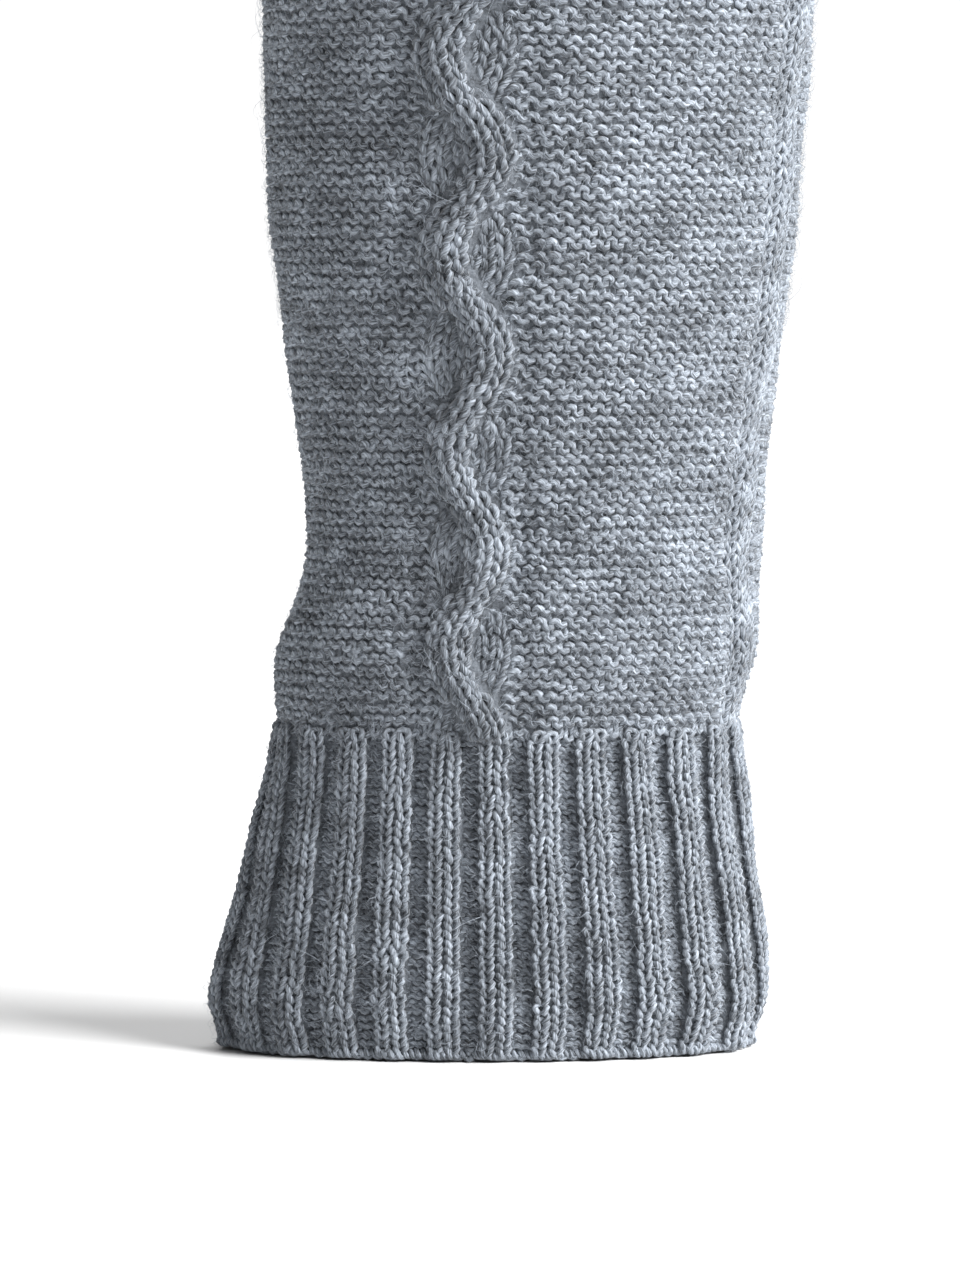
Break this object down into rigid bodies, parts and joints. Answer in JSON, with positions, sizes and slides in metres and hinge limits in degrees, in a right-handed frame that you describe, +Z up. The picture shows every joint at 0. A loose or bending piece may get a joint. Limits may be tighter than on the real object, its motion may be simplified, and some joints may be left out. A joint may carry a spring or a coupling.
{
  "type": "fingerless mitten",
  "caption": "Long fingerless mitten knitted in heather grey yarn, with a ribbed cuff, a wavy cable up the front and a side seam.",
  "frame": {"origin": "on the resting face of the cuff edge, under the middle of the mitten's box", "axes": "+Z up the arm from the cuff edge, the cabled front faces -Y, the side seam is on the +X side"},
  "size_m": [0.1018, 0.0766, 0.23],
  "materials": {
    "ground_knit": "reverse stocking stitch in heather grey wool-blend yarn",
    "rib_knit": "2x2 rib in heather grey wool-blend yarn",
    "cable_knit": "knit-side cable strands in heather grey wool-blend yarn",
    "edge_knit": "rolled edge loops in heather grey wool-blend yarn",
    "seam_yarn": "heather grey linking yarn",
    "loose_yarn": "heather grey yarn, fuzzy"
  },
  "bodies": {
    "hand_section": {"cuff_edge": "edge_knit", "cuff_rib": "rib_knit", "cuff_yarn_tail": "loose_yarn", "hand_front_left": "ground_knit", "hand_front_right": "ground_knit", "hand_back": "ground_knit", "hand_cable_front": "cable_knit", "hand_cable_back": "cable_knit", "hand_seam": "ground_knit", "hand_seam_yarn": "seam_yarn", "wrist_front_left": "ground_knit", "wrist_front_right": "ground_knit", "wrist_back": "ground_knit", "wrist_cable_front": "cable_knit", "wrist_cable_back": "cable_knit", "wrist_seam": "ground_knit", "wrist_seam_yarn": "seam_yarn"},
    "forearm_section": {"forearm_front_left": "ground_knit", "forearm_front_right": "ground_knit", "forearm_back": "ground_knit", "forearm_cable_front": "cable_knit", "forearm_cable_back": "cable_knit", "forearm_seam": "ground_knit", "forearm_seam_yarn": "seam_yarn", "forearm_rib": "rib_knit", "forearm_edge": "edge_knit", "forearm_yarn_tail": "loose_yarn"}
  },
  "joints": [
    {"name": "wrist_flex", "type": "hinge", "parent": "hand_section", "child": "forearm_section", "pos_m": [0.00235, 0, 0.083], "axis": [1, 0, 0], "range_deg": [-35, 35], "deforming": ["wrist_front_left", "wrist_front_right", "wrist_back", "wrist_cable_front", "wrist_cable_back", "wrist_seam", "wrist_seam_yarn"]}
  ]
}
